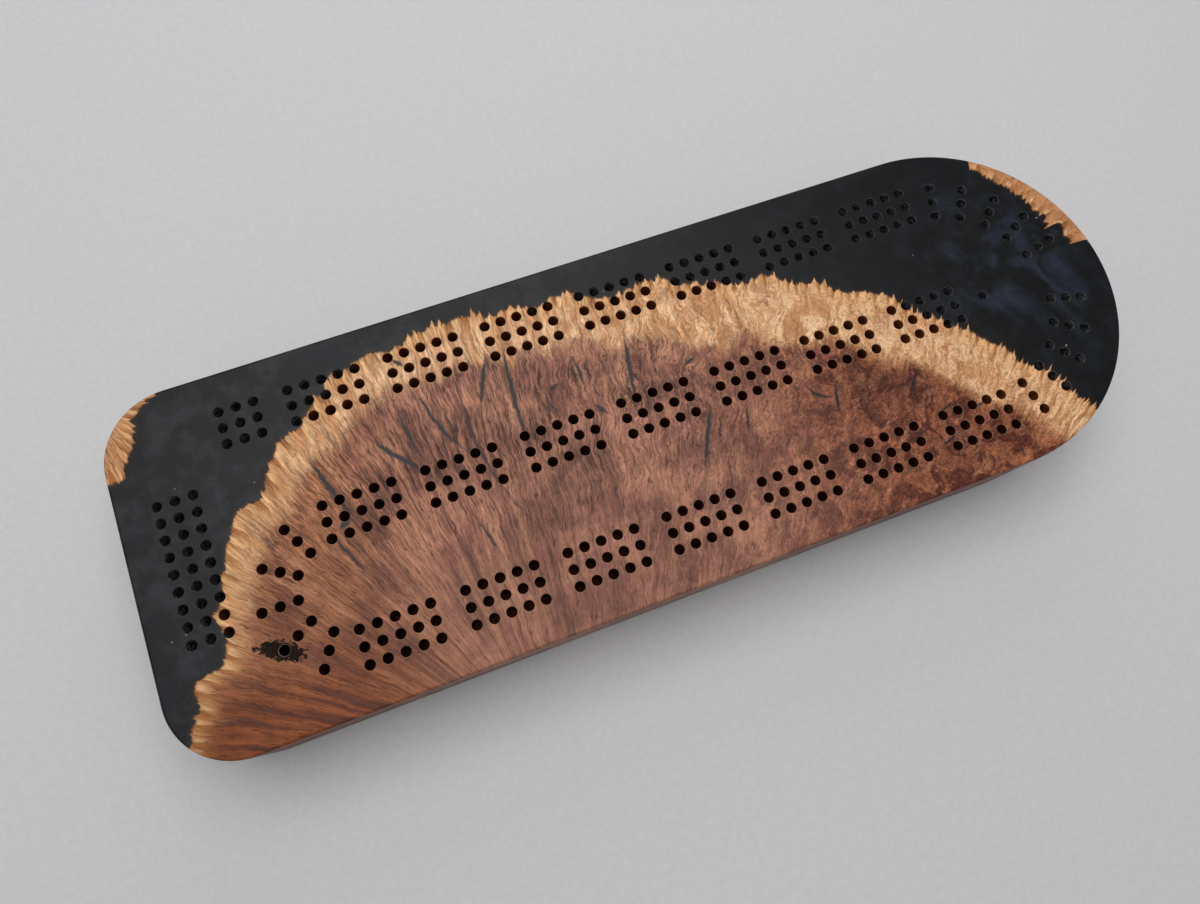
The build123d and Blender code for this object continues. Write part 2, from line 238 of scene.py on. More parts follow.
def straight_track_holes():
    """Seven groups of five columns, three holes deep, on each of the three straights."""
    for track in (-1, 0, 1):
        for group in range(TRACK_GROUPS):
            for column in range(HOLES_PER_GROUP):
                for lane in (-1, 0, 1):
                    x = TRACK_START_X + (group * (HOLES_PER_GROUP + 1) + column) * PITCH
                    yield x, track * TRACK_OFFSET + lane * PITCH


def turn_holes(centre_x, centre_y, radius, angles):
    """Three lanes of holes round the end of a track."""
    for lane in (-1, 0, 1):
        for angle in angles:
            reach = radius + lane * PITCH
            turn = math.radians(angle)
            yield centre_x + reach * math.cos(turn), centre_y + reach * math.sin(turn)


def block_holes(first_x, centre_y, columns, rows):
    """A plain rectangle of holes."""
    for column in range(columns):
        for row in range(rows):
            yield first_x + column * PITCH, centre_y + (row - (rows - 1) / 2) * PITCH


def hole_places():
    """Every peg hole of the board."""
    places = list(straight_track_holes())
    wide_turn = [side * step for side in (-1, 1) for step in (15, 30, 45, 60, 75)]
    places += turn_holes(TURN_CENTRE_X, 0, TRACK_OFFSET, wide_turn)
    places += turn_holes(TRACK_START_X, -TRACK_OFFSET / 2, TRACK_OFFSET / 2, range(120, 241, 30))
    places += block_holes(SMALL_BLOCK_X, TRACK_OFFSET, columns=3, rows=3)
    places += block_holes(LARGE_BLOCK_X, 0, columns=3, rows=9)
    return places + [(FINISH_X, 0)]


def hole_drills():
    """A drill for every hole, flared where it leaves the top so that the mouth is eased."""
    flare = HOLE_RADIUS + HOLE_MOUTH
    outline = [(0, -HOLE_DEPTH), (HOLE_RADIUS, -HOLE_DEPTH), (HOLE_RADIUS, -HOLE_MOUTH),
               (flare, HAIR), (flare, OVERSHOOT), (0, OVERSHOOT)]
    return copies(turned_mesh("drill", outline, HOLE_SIDES),
                  [Matrix.Translation((x, y, BOARD_TOP)) for x, y in hole_places()])


# ==== the casting: top, rails and end block ====

# Each piece: its blank, then in turn what it loses (-) and what it keeps to (+).
CASTING_RECIPES = {
    "top_burl": "top -drills +main",
    "top_corner_burl": "top +corner",
    "top_rim_burl": "top +rim",
    "top_resin": "top -drills -main -corner -rim",
    "near_rail_burl": "case +near -recess +main",
    "near_rail_resin": "case +near -recess -main",
    "far_rail_burl": "case +far -recess +main",
    "far_rail_resin": "case +far -recess -main -corner",
    "far_rail_corner": "case +far +corner",
    "end_block_burl": "case +end -recess -sockets +main",
    "end_block_resin": "case +end -recess -sockets -main -rim",
    "end_block_rim": "case +end +rim",
}
OPERATIONS = {"-": "DIFFERENCE", "+": "INTERSECT"}


def magnet_sockets():
    """Room for the two magnets in the face of the end block."""
    low, high = (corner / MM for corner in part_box("case_magnets"))
    inner, outer = high.y - MAGNET_WIDTH - MAGNET_GAP, high.y + MAGNET_GAP
    bm = None
    for near_y, far_y in ((inner, outer), (-outer, -inner)):
        bm = block((low.x - OVERSHOOT, near_y, low.z - MAGNET_GAP),
                   (high.x + MAGNET_GAP, far_y, high.z + MAGNET_GAP), bm)
    return bm


def casting_tools():
    """The two blanks and everything that they are cut with."""
    end_x, side_y = BOARD_LENGTH / 2 + OVERSHOOT, BOARD_WIDTH / 2 + OVERSHOOT
    shapes = {
        "top": board_blank(CASE_TOP, BOARD_TOP, BOARD_TOP),
        "case": board_blank(UNDERSIDE, CASE_TOP, UNDERSIDE),
        "drills": hole_drills(),
        "main": region_prism(MAIN_LIVE_EDGE, (134, -60), (-155, -60)),
        "corner": region_prism(CORNER_LIVE_EDGE, (-160, 56)),
        "rim": region_prism(RIM_LIVE_EDGE, (158, 52)),
        "near": block((-end_x, -side_y, 0), (POCKET_END_X, -POCKET_HALF_WIDTH, BOARD_TOP)),
        "far": block((-end_x, POCKET_HALF_WIDTH, 0), (POCKET_END_X, side_y, BOARD_TOP)),
        "end": block((POCKET_END_X, -side_y, 0), (end_x, side_y, BOARD_TOP)),
        "recess": block((FRONT_BACK_X, PANEL_LOW.y - PANEL_GAP, 0),
                        (PANEL_HIGH.x + PANEL_GAP, PANEL_HIGH.y + PANEL_GAP, PANEL_HIGH.z)),
        "sockets": magnet_sockets(),
    }
    return {name: as_object(bm, name + "_tool") for name, bm in shapes.items()}


def casting_pieces():
    """The twelve burl and resin solids of the board, cut from two blanks."""
    tools = casting_tools()
    pieces = {}
    for node, recipe in CASTING_RECIPES.items():
        blank, *cuts = recipe.split()
        pieces[node] = carved(tools[blank], node + "_piece",
                              [(OPERATIONS[cut[0]], tools[cut[1:]]) for cut in cuts])
    for tool in tools.values():
        bpy.data.objects.remove(tool)
    for piece in pieces.values():
        piece.data.transform(Matrix.Scale(MM, 4))
    return pieces


# ==== floor, light and camera ====

FLOOR_HALF_WIDTH = 2.0
ROOM_TONE = (0.97, 0.985, 1, 1)
ROOM_STRENGTH = 0.28
CAMERA_PLACE = (-0.0568, -0.0642, BOARD_TOP * MM + 0.2430)
CAMERA_TURN = (15.214, -3.161, -20.678)
FOCAL_LENGTH = 25.7
SENSOR_WIDTH = 36


def stage_floor(material):
    """A plain sheet far wider than the view."""
    bm = bmesh.new()
    bmesh.ops.create_grid(bm, x_segments=1, y_segments=1, size=FLOOR_HALF_WIDTH)
    floor = as_object(bm, "floor")
    floor.data.materials.append(material)


def area_light(name, place, aim, size, power, tint):
    """A square soft box that looks at a point; places in metres."""
    light = bpy.data.lights.new(name, "AREA")
    light.shape = "SQUARE"
    light.size = size
    light.energy = power
    light.color = tint
    lamp = bpy.data.objects.new(name, light)
    lamp.location = place
    lamp.rotation_euler = (Vector(aim) - Vector(place)).to_track_quat("-Z", "Y").to_euler()
    bpy.context.scene.collection.objects.link(lamp)


def studio():
    """A wide soft box overhead, a little to the far side, a weak low one, and an even room."""
    area_light("window", place=(-0.02, 0.20, 1.0), aim=(0, 0.12, 0.03), size=1.0, power=9.2,
               tint=(1, 0.995, 0.99))
    area_light("side_window", place=(0.30, 0.98, 0.50), aim=(0, 0, 0.03), size=0.7, power=1.8,
               tint=(1, 0.99, 0.97))
    world = bpy.data.worlds.new("room")
    world.use_nodes = True
    background = world.node_tree.nodes["Background"]
    background.inputs["Color"].default_value = ROOM_TONE
    background.inputs["Strength"].default_value = ROOM_STRENGTH
    bpy.context.scene.world = world


def camera():
    """The photograph's view: from just above the board, a little to the near left."""
    lens = bpy.data.cameras.new("camera")
    lens.sensor_width = SENSOR_WIDTH
    lens.lens = FOCAL_LENGTH
    lens.clip_start = 0.01
    body = bpy.data.objects.new("camera", lens)
    body.location = CAMERA_PLACE
    body.rotation_euler = [math.radians(angle) for angle in CAMERA_TURN]
    bpy.context.scene.collection.objects.link(body)
    bpy.context.scene.camera = body


# ==== nets of nodes ====

class Net:
    """Places nodes in one tree and joins them, so that a recipe reads from top to bottom."""

    def __init__(self, tree):
        self.tree = tree

    def add(self, kind, inputs=None, **settings):
        """One node, with its settings and its inputs fed."""
        node = self.tree.nodes.new("ShaderNode" + kind)
        for name, value in settings.items():
            setattr(node, name, value)
        self.feed_all(node, inputs or {})
        return node

    def feed(self, socket, value):
        """Links a socket, or writes a plain value."""
        if isinstance(value, bpy.types.NodeSocket):
            self.tree.links.new(value, socket)
        else:
            socket.default_value = value

    def feed_all(self, node, values):
        """Feeds the named inputs of a node."""
        for name, value in values.items():
            self.feed(node.inputs[name], value)

    def maths(self, operation, *values, clamp=False):
        """A Math node."""
        inputs = dict(enumerate(values))
        return self.add("Math", inputs, operation=operation, use_clamp=clamp).outputs[0]

    def vector(self, operation, *values):
        """A Vector Math node; dot products, lengths and distances give a value."""
        node = self.add("VectorMath", dict(enumerate(values)), operation=operation)
        single = operation in ("DOT_PRODUCT", "LENGTH", "DISTANCE")
        return node.outputs["Value" if single else "Vector"]

    def scaled(self, vector, amount):
        """A vector times a value."""
        node = self.add("VectorMath", {"Scale": amount, 0: vector}, operation="SCALE")
        return node.outputs["Vector"]

    def split(self, vector):
        """The three parts of a vector."""
        return tuple(self.add("SeparateXYZ", {0: vector}).outputs)

    def join(self, x, y, z):
        """A vector from its parts."""
        return self.add("CombineXYZ", {0: x, 1: y, 2: z}).outputs[0]

    def noise(self, vector, scale, detail=2.0, roughness=0.5, distortion=0.0):
        """Noise from 0 to 1 round a middle of 0.5."""
        node = self.add("TexNoise", {"Vector": vector, "Scale": scale, "Detail": detail,
                                     "Roughness": roughness, "Distortion": distortion})
        return node.outputs["Fac"]

    def cells(self, vector, scale):
        """The distance to the nearest cell point."""
        return self.add("TexVoronoi", {"Vector": vector, "Scale": scale}).outputs["Distance"]

    def remap(self, value, low, high, to_low=0.0, to_high=1.0):
        """A smooth step from one range to another."""
        node = self.add("MapRange", {"Value": value, "From Min": low, "From Max": high,
                                     "To Min": to_low, "To Max": to_high},
                        interpolation_type="SMOOTHSTEP")
        return node.outputs["Result"]

    def mix(self, factor, low, high, kind="MIX"):
        """A colour between two colours."""
        node = self.add("Mix", {0: factor, 6: low, 7: high}, data_type="RGBA", blend_type=kind)
        return node.outputs[2]

    def times(self, *values, clamp=False):
        """The product of two values."""
        return self.maths("MULTIPLY", *values, clamp=clamp)

    def plus(self, *values):
        """The sum of two values."""
        return self.maths("ADD", *values)

    def minus(self, *values, clamp=False):
        """The first value less the second."""
        return self.maths("SUBTRACT", *values, clamp=clamp)

    def times_plus(self, *values, clamp=False):
        """The product of the first two values, plus the third."""
        return self.maths("MULTIPLY_ADD", *values, clamp=clamp)

    def centred(self, noise):
        """A noise moved so that its middle is nought."""
        return self.minus(noise, 0.5)

    def between(self, factor, low, high):
        """A value between two values."""
        return self.add("Mix", {"Factor": factor, "A": low, "B": high}).outputs["Result"]

    def shaded(self, tone, amount):
        """A colour times a value."""
        return self.mix(1.0, tone, self.join(amount, amount, amount), "MULTIPLY")

    def profile(self, value, points):
        """A curve drawn through given points, both ways from 0 to 1."""
        node = self.add("FloatCurve", {"Factor": 1.0, "Value": value})
        curve = node.mapping.curves[0]
        ordered = sorted(points)
        curve.points[0].location = ordered[0]
        curve.points[1].location = ordered[-1]
        for place in ordered[1:-1]:
            curve.points.new(*place)
        for point in curve.points:
            point.handle_type = "VECTOR"
        node.mapping.update()
        return node.outputs["Value"]


def rgb(red, green, blue):
    """A colour written as the eye sees it on a screen, turned into light."""
    channels = [c / 255 for c in (red, green, blue)]
    linear = [c / 12.92 if c <= 0.04045 else ((c + 0.055) / 1.055) ** 2.4 for c in channels]
    return (*linear, 1.0)


SOCKET_KINDS = {"Place": "Vector", "Lengthways": "Vector", "Sideways": "Vector", "Color": "Color"}
EDGE_SOCKETS = "Depth Along Reach Turn Fold Islet"


def node_group(name, inputs, outputs):
    """An empty group with named sockets: (group, net, its inputs, its output node)."""
    group = bpy.data.node_groups.new(name, "ShaderNodeTree")
    for in_out, names in (("INPUT", inputs), ("OUTPUT", outputs)):
        for socket_name in names.split():
            kind = "NodeSocket" + SOCKET_KINDS.get(socket_name, "Float")
            group.interface.new_socket(name=socket_name, in_out=in_out, socket_type=kind)
    source = group.nodes.new("NodeGroupInput")
    sink = group.nodes.new("NodeGroupOutput")
    return group, Net(group), source.outputs, sink


def placed_group(net, group, inputs):
    """One use of a group, with its inputs fed; gives its outputs."""
    node = net.tree.nodes.new("ShaderNodeGroup")
    node.node_tree = group
    net.feed_all(node, inputs)
    return node.outputs


def new_material(name):
    """A material, its net, its shader, and the object's own coordinates in millimetres."""
    material = bpy.data.materials.new(name)
    material.use_nodes = True
    net = Net(material.node_tree)
    place = net.scaled(net.add("TexCoord").outputs["Object"], 1 / MM)
    return material, net, material.node_tree.nodes["Principled BSDF"], place


def bumped(net, height, strength, distance):
    """A normal from a height; distance in millimetres."""
    node = net.add("Bump", {"Height": height, "Strength": strength, "Distance": distance * MM})
    return node.outputs["Normal"]


# ==== the live edge ====

def polar(x, y, centre):
    """Angle as a share of a half turn, and reach in millimetres, from a centre."""
    across, up = x - centre[0], y - centre[1]
    return math.atan2(up, across) / math.pi, math.hypot(across, up)


def reach_from(net, x, y, centre):
    """The same, in nodes."""
    across, up = net.minus(x, centre[0]), net.minus(y, centre[1])
    turn = net.times(net.maths("ARCTAN2", up, across), 1 / math.pi)
    square = net.plus(net.times(across, across), net.times(up, up))
    return turn, net.maths("SQRT", square)


def edge_reach(net, turn, live_edge, centre, longest):
    """How far a live edge lies from its centre in each direction."""
    points = [polar(x, y, centre) for x, y in live_edge]
    shares = [(abs(share), reach / longest) for share, reach in points]
    return net.times(net.profile(turn, shares), longest)


def fibre_run(net, x, y):
    """How far round the fan a fibre lies: straight rays to the left, steep curves to the right."""
    turn, _ = reach_from(net, x, y, FIBRE_CENTRE)
    past_upright = net.maths("MAXIMUM", net.minus(turn, 0.5), 0.0)
    rightwards = net.maths("MAXIMUM", net.minus(x, FIBRE_CENTRE[0]), 0.0)
    rise = net.maths("DIVIDE", FAN_RADIUS, net.minus(y, FIBRE_CENTRE[1]))
    rightwards = net.times(rightwards, net.maths("POWER", rise, 0.35))
    return net.times_plus(past_upright, -FAN_RADIUS * math.pi, rightwards)


def spike_group():
    """The flame-shaped spikes along a live edge, and the folds that run in from between them."""
    group, net, source, sink = node_group("live_edge_spikes", "Along Reach Height Vigour",
                                          "Spikes Fold")
    along, reach, z = source["Along"], source["Reach"], source["Height"]
    flow = net.join(along, net.times(reach, 0.3), net.times(z, 0.5))
    sway = net.centred(net.noise(flow, 0.35, 2, 0.6))
    leaning = net.times_plus(sway, 2.6, net.times_plus(z, 0.12, along))
    waves = net.centred(net.noise(net.join(along, 0.0, z), 0.1, 4, 0.65))
    vigour = net.remap(net.noise(net.join(along, 7.0, z), 0.11, 1), 0.34, 0.60, 0.25, 1.1)
    vigour = net.times(vigour, source["Vigour"])

    def peaks(width, sharpness):
        cell = net.add("TexVoronoi", {"W": leaning, "Scale": 1 / width}, voronoi_dimensions="1D")
        fall = net.minus(1, net.times(cell.outputs["Distance"], 2.1), clamp=True)
        chance, _, _ = net.split(cell.outputs["Color"])
        height = net.times(net.maths("POWER", fall, sharpness), net.times_plus(chance, 0.8, 0.35))
        return height, net.minus(leaning, cell.outputs["W"])

    tall, fold = peaks(3.0, 1.7)
    fine, _ = peaks(1.3, 1.4)
    ragged = net.centred(net.noise(flow, 2.4, 2, 0.7))
    total = net.times(net.times_plus(tall, 2.2, fine), vigour)
    total = net.times_plus(waves, 1.6, total)
    total = net.times_plus(ragged, 1.3, total)
    net.feed_all(sink, {"Spikes": net.minus(total, 0.6),
                        "Fold": net.remap(fold, -1.7, 1.7, -1, 1)})
    return group


NO_BURL = -400


def live_edge_group(spikes):
    """Where the burl is: depth into it from the live edge, and the run of its fibres."""
    group, net, source, sink = node_group("live_edge", "Place", EDGE_SOCKETS)
    x, y, z = net.split(source["Place"])

    def jagged(depth, along, reach, vigour):
        made = placed_group(net, spikes, {"Along": along, "Reach": reach, "Height": z,
                                          "Vigour": vigour})
        return net.plus(depth, made["Spikes"]), made["Fold"]

    turn, reach = reach_from(net, x, y, FAN_CENTRE)
    main = net.minus(edge_reach(net, turn, MAIN_SEEN_EDGE, FAN_CENTRE, FAN_REACH), reach)
    along = fibre_run(net, x, y)
    main, fold = jagged(main, along, reach, net.remap(turn, 0.62, 0.74, 1, 0.45))

    corner_turn, corner_reach = reach_from(net, x, y, CORNER_CENTRE)
    corner_turn = net.maths("ABSOLUTE", corner_turn)
    corner_edge = edge_reach(net, corner_turn, CORNER_SEEN_EDGE, CORNER_CENTRE, CORNER_REACH)
    corner = net.minus(corner_edge, corner_reach)
    corner_along = net.times(corner_turn, CORNER_FIBRE_RADIUS * math.pi)
    corner, corner_fold = jagged(corner, corner_along, corner_reach, 0.6)

    rim_turn, rim_reach = reach_from(net, x, y, RIM_CENTRE)
    rim_limit = net.plus(net.remap(rim_turn, -0.01, 0.03, NO_BURL, 0),
                         net.remap(rim_turn, 0.34, 0.38, 0, NO_BURL))
    rim_edge = edge_reach(net, net.maths("ABSOLUTE", rim_turn), RIM_SEEN_EDGE, RIM_CENTRE,
                          RIM_REACH)
    rim = net.minus(rim_reach, rim_edge)
    rim_along = net.times(rim_turn, RIM_FIBRE_RADIUS * math.pi)
    rim, rim_fold = jagged(net.plus(rim, rim_limit), rim_along, rim_reach, 0.9)

    at_corner = net.maths("GREATER_THAN", corner, main)
    at_rim = net.maths("GREATER_THAN", rim, net.maths("MAXIMUM", main, corner))

    def here(in_main, in_corner, in_rim):
        return net.between(at_rim, net.between(at_corner, in_main, in_corner), in_rim)

    net.feed_all(sink, {
        "Depth": net.maths("MAXIMUM", main, net.maths("MAXIMUM", corner, rim)),
        "Along": here(along, corner_along, rim_along),
        "Reach": here(reach, corner_reach, rim_reach),
        "Turn": turn, "Fold": here(fold, corner_fold, rim_fold),
        "Islet": net.times_plus(at_corner, 0.5, at_rim)})
    return group


# ==== the burl ====

# Filled cracks, read off the top: both ends, sideways bow and half width at the middle.
CRACKS = [
    ((-100.3, 18.7), (-93.6, -1), -0.4, 0.65), ((-81.9, 18.4), (-71.9, 6.5), -0.4, 0.65),
    ((-72.6, 25), (-70.4, 9.5), -0.4, 0.4), ((-65.4, 28.6), (-58.1, 7.4), -1.3, 0.45),
    ((-69.2, 40.8), (-67.3, 38), 0, 0.55), ((-53.6, 27), (-49.2, -12.8), -2.5, 0.22),
    ((-43.6, 31.4), (-48.9, 18.5), -0.2, 0.6), ((-37.1, 33), (-39.7, 1), -0.7, 0.6),
    ((-28.2, 15.8), (-25.3, 17.2), 0, 0.45), ((-30, 14.6), (-30.7, 9), 0, 0.3),
    ((-18.3, 22.5), (-18, 14), 0.2, 0.4), ((-17, 7), (-14.1, 3.2), 0, 0.35),
    ((-1, 24.5), (-5, 4.5), -0.2, 0.6), ((13.4, 10), (16.4, 11.2), 0, 0.4),
    ((15.2, -5.6), (6.6, -22.4), -0.1, 0.55), ((25.9, -8), (23.5, -15.7), 0, 0.35),
    ((45.8, -9.1), (51.9, -14.6), -1.2, 0.35), ((55, -11.3), (52.4, -20.4), -0.7, 0.4),
    ((49.4, -4.1), (53.4, -3.4), 0, 0.3), ((80.6, -16), (76.4, -23), -0.8, 0.35),
    ((80, -31), (86.6, -28.8), 0, 0.3), ((92, -32.6), (96, -32.2), 0, 0.3),
    ((77.4, -40.4), (82.6, -38.8), 0, 0.35), ((-60.8, -14.2), (-58, -24.4), 0, 0.3),
    ((-100.8, -4.5), (-95.2, -16.6), 0.2, 0.35), ((-94.7, -1), (-97.6, -3), 0, 0.9),
]

# Darker and paler stains in the heartwood: middle, half sizes and how much brighter.
STAINS = [
    ((-30, -11), (20, 12), -0.28), ((70, -18), (24, 14), -0.38), ((80, -42), (34, 14), -0.15),
    ((-72, -14), (26, 14), 0.14), ((28, -10), (16, 10), 0.12), ((-45, 14), (40, 10), -0.10),
]


# How wide the sapwood is in each direction of the fan, as a share of the widest.
WIDEST_SAP = 38
SAP_WIDTHS = [
    (0.0, 0.34), (0.08, 0.44), (0.14, 0.50), (0.24, 0.58), (0.33, 0.56), (0.42, 0.42),
    (0.5, 0.38), (0.58, 0.36), (0.66, 0.30), (0.75, 0.26), (0.85, 0.15), (1.0, 0.1),
]
# Where the golden streaks are strongest, on a place stretched by these shares.
GOLDEN_STRETCH, GOLDEN_CENTRE = (0.62, 1, 0), (-82, -60, 0)
# A height that is divided by this counts for nothing.
FLATTENED = 1e6
FAR_FROM_CRACKS = -10.0


def crack_group():
    """How far a place lies inside one filled crack, in millimetres: a bowed, tapering split."""
    group, net, source, sink = node_group(
        "filled_crack", "Place Lengthways Sideways Start Middle Bow HalfWidth", "Inside")
    share, off_line = (
        net.minus(net.vector("DOT_PRODUCT", source["Place"], source[way]), source[origin])
        for way, origin in (("Lengthways", "Start"), ("Sideways", "Middle")))
    hump = net.times(net.times(share, 4.0), net.minus(1.0, share))
    off_line = net.minus(off_line, net.times(hump, source["Bow"]))
    half = net.times(hump, source["HalfWidth"])
    net.feed_all(sink, {"Inside": net.minus(half, net.maths("ABSOLUTE", off_line))})
    return group


def inside_cracks(net, crack, place):
    """How far a place lies inside the nearest crack."""
    inside = FAR_FROM_CRACKS
    for (x, y), (end_x, end_y), bow, half_width in CRACKS:
        run_x, run_y = end_x - x, end_y - y
        length = math.hypot(run_x, run_y)
        lengthways = (run_x / length ** 2, run_y / length ** 2, 0)
        sideways = (-run_y / length, run_x / length, 0)
        split = placed_group(net, crack, {
            "Place": place, "Lengthways": lengthways, "Sideways": sideways,
            "Start": x * lengthways[0] + y * lengthways[1],
            "Middle": x * sideways[0] + y * sideways[1], "Bow": bow, "HalfWidth": half_width})
        inside = net.maths("MAXIMUM", inside, split["Inside"])
    return inside


HOLLOW_CENTRE = (-122.0, -30.0, 0)
HOLLOW_TURN = 30
HOLLOW_HALF_LENGTH, HOLLOW_HALF_WIDTH = 7.5, 2.9


def hollow_mask(net, place, rough):
    """The ragged bark-filled hollow by the turn at the square end."""
    offset = net.vector("SUBTRACT", place, HOLLOW_CENTRE)
    turned = net.add("Mapping", {"Vector": offset,
                                 "Rotation": (0, 0, math.radians(HOLLOW_TURN))}).outputs[0]
    length, width, _ = net.split(turned)
    length = net.maths("DIVIDE", length, HOLLOW_HALF_LENGTH)
    width = net.maths("DIVIDE", width, HOLLOW_HALF_WIDTH)
    oval = net.plus(net.maths("POWER", length, 2), net.maths("POWER", width, 2))
    return net.remap(net.times_plus(rough, 3.2, oval), 0.9, 0.7)


def burl_group(crack):
    """The burl's colour, height and roughness, from pale sapwood to dark, curly heartwood."""
    group, net, source, sink = node_group("burl", "Place " + EDGE_SOCKETS,
                                          "Color Height Roughness")
    place, reach, depth = source["Place"], source["Reach"], source["Depth"]
    x, y, z = net.split(place)

    # The fibres run outwards from the fan's centre, and curl more towards the round end.
    curly_end = net.remap(x, 0, 70)
    curliness = net.remap(x, -70, 80, 1.0, 4.4)
    curl = net.centred(net.noise(place, 0.09, 2, 0.6))
    kink = net.centred(net.noise(place, 0.45, 2, 0.6))
    across = net.times_plus(net.times(curl, 3.4), curliness, source["Along"])
    across = net.times_plus(kink, curliness, across)

    def fibre_noise(run, scale, detail, roughness=0.6):
        space = net.join(across, net.times(reach, run), net.times(z, 0.4))
        return net.noise(space, scale, detail, roughness)

    fibres = fibre_noise(0.085, 1.8, 3, 0.75)
    long_streaks = fibre_noise(0.09, 0.28, 3, 0.65)
    short_streaks = fibre_noise(0.40, 0.24, 3, 0.65)
    wisps = fibre_noise(0.11, 0.85, 2, 0.65)
    dashes = net.remap(fibre_noise(0.20, 1.7, 1), 0.375, 0.30)
    figure = net.noise(place, 0.42, 3, 0.62, 1.6)
    speckle = net.noise(place, 1.6, 2, 0.7, 0.8)
    clouds = net.noise(place, 0.055, 3, 0.6)
    curls = net.maths("SINE", net.times(net.noise(place, 0.1, 2, 0.6, 1.2), 46.0))
    curls = net.times(net.remap(curls, 0.55, 0.98), net.remap(figure, 0.42, 0.56))
    streaks = net.between(net.remap(x, -60, 10), long_streaks, short_streaks)

    # Heartwood: mauve brown to the left, red brown to the right, golden at the near left.
    cloudy = net.remap(clouds, 0.36, 0.64)
    heart = net.mix(cloudy, rgb(122, 79, 65), rgb(158, 109, 87))
    patches = net.remap(net.noise(place, 0.12, 2, 0.55, 1.0), 0.42, 0.58)
    blotch = net.times_plus(net.centred(figure), 2.0, patches, clamp=True)
    red = net.mix(blotch, rgb(84, 38, 24), rgb(142, 84, 58))
    heart = net.mix(net.remap(x, 5, 70), heart, red)
    warm = net.mix(cloudy, rgb(114, 68, 43), rgb(147, 94, 62))
    heart = net.mix(net.remap(x, -66, -108, 0, 0.9), heart, warm)
    near = net.vector("MULTIPLY", place, GOLDEN_STRETCH)
    near = net.remap(net.vector("DISTANCE", near, GOLDEN_CENTRE), 40, 14)
    golden = net.mix(net.remap(streaks, 0.36, 0.62), rgb(86, 40, 20), rgb(129, 70, 38))
    heart = net.mix(near, heart, golden)
    dark_share = net.times(net.remap(streaks, 0.5, 0.36), net.remap(x, -40, 60, 0.55, 0.45))
    heart = net.mix(dark_share, heart, rgb(84, 50, 42))
    pale_share = net.times(net.remap(streaks, 0.52, 0.68, 0, 0.4), net.minus(1.0, near))
    heart = net.mix(pale_share, heart, rgb(178, 128, 96))
    clustered = net.times(net.remap(wisps, 0.46, 0.36), net.remap(clouds, 0.56, 0.42, 0.25, 0.8))
    clustered = net.times(clustered, net.remap(x, -10, 60, 1.0, 0.4))
    clustered = net.times(clustered, net.remap(y, -45, 10, 0.4, 1.2), clamp=True)
    heart = net.mix(clustered, heart, rgb(76, 46, 40))
    stained = 1.0
    for (stain_x, stain_y), (wide, high), brighter in STAINS:
        offset = net.vector("SUBTRACT", place, (stain_x, stain_y, 0))
        away = net.vector("LENGTH", net.vector("DIVIDE", offset, (wide, high, FLATTENED)))
        stained = net.plus(stained, net.remap(away, 1.0, 0.2, 0.0, brighter))
    heart = net.shaded(heart, stained)

    # Sapwood: a pale band along the live edge, wider towards the round end.
    width = net.times(net.profile(source["Turn"], SAP_WIDTHS), WIDEST_SAP)
    inside = net.minus(depth, width)
    streaky = net.remap(x, -20, 70, 19.0, 8.0)
    for noise, amount in ((streaks, streaky), (clouds, 16.0), (figure, 7.0), (wisps, 5.0)):
        inside = net.times_plus(net.centred(noise), amount, inside)
    sap = net.mix(net.remap(streaks, 0.36, 0.60), rgb(182, 131, 91), rgb(227, 185, 143))
    for value, low, high, amount, tone in (
            (depth, 7.0, 0.5, 0.5, rgb(204, 146, 86)),
            (figure, 0.50, 0.68, 0.55, rgb(180, 122, 76)),
            (wisps, 0.47, 0.36, 0.60, rgb(150, 98, 64))):
        sap = net.mix(net.remap(value, low, high, 0, amount), sap, tone)
    curled = net.times(curls, net.remap(x, -60, 20, 0.2, 0.6))
    sap = net.mix(curled, sap, rgb(172, 114, 68))
    sap = net.mix(net.times(near, 0.85), sap, rgb(138, 82, 46))
    sap = net.mix(net.remap(x, -78, -120, 0, 0.4), sap, rgb(172, 116, 68))
    rusty = net.times(source["Islet"], net.remap(streaks, 0.4, 0.6, 0.35, 0.8))
    sap = net.mix(rusty, sap, rgb(158, 100, 60))
    softness = net.remap(source["Turn"], 0.35, 0.7, 2.6, 5.0)
    in_heart = net.remap(net.maths("DIVIDE", inside, softness), -1, 1)
    wood = net.mix(in_heart, sap, heart)
    border = net.times(in_heart, net.minus(1.0, in_heart))
    wood = net.mix(net.times(border, net.times(curly_end, 2.2)), wood, rgb(146, 88, 48))

    # Folds run in from between the spikes, and a dark fringe follows the very edge.
    fold_depth = net.times(depth, net.remap(x, -50, 30, 1.5, 2.4))
    folded = net.times(net.remap(source["Fold"], 0.1, 1.0), net.remap(fold_depth, 12, 1, 0, 0.85))
    wood = net.mix(folded, wood, rgb(142, 88, 46))
    lit = net.times(net.remap(source["Fold"], 0.1, -0.8), net.remap(fold_depth, 9, 1, 0, 0.4))
    wood = net.mix(lit, wood, rgb(234, 194, 142))
    wood = net.mix(net.remap(depth, 0.8, 0.0, 0, 0.6), wood, rgb(96, 58, 32))

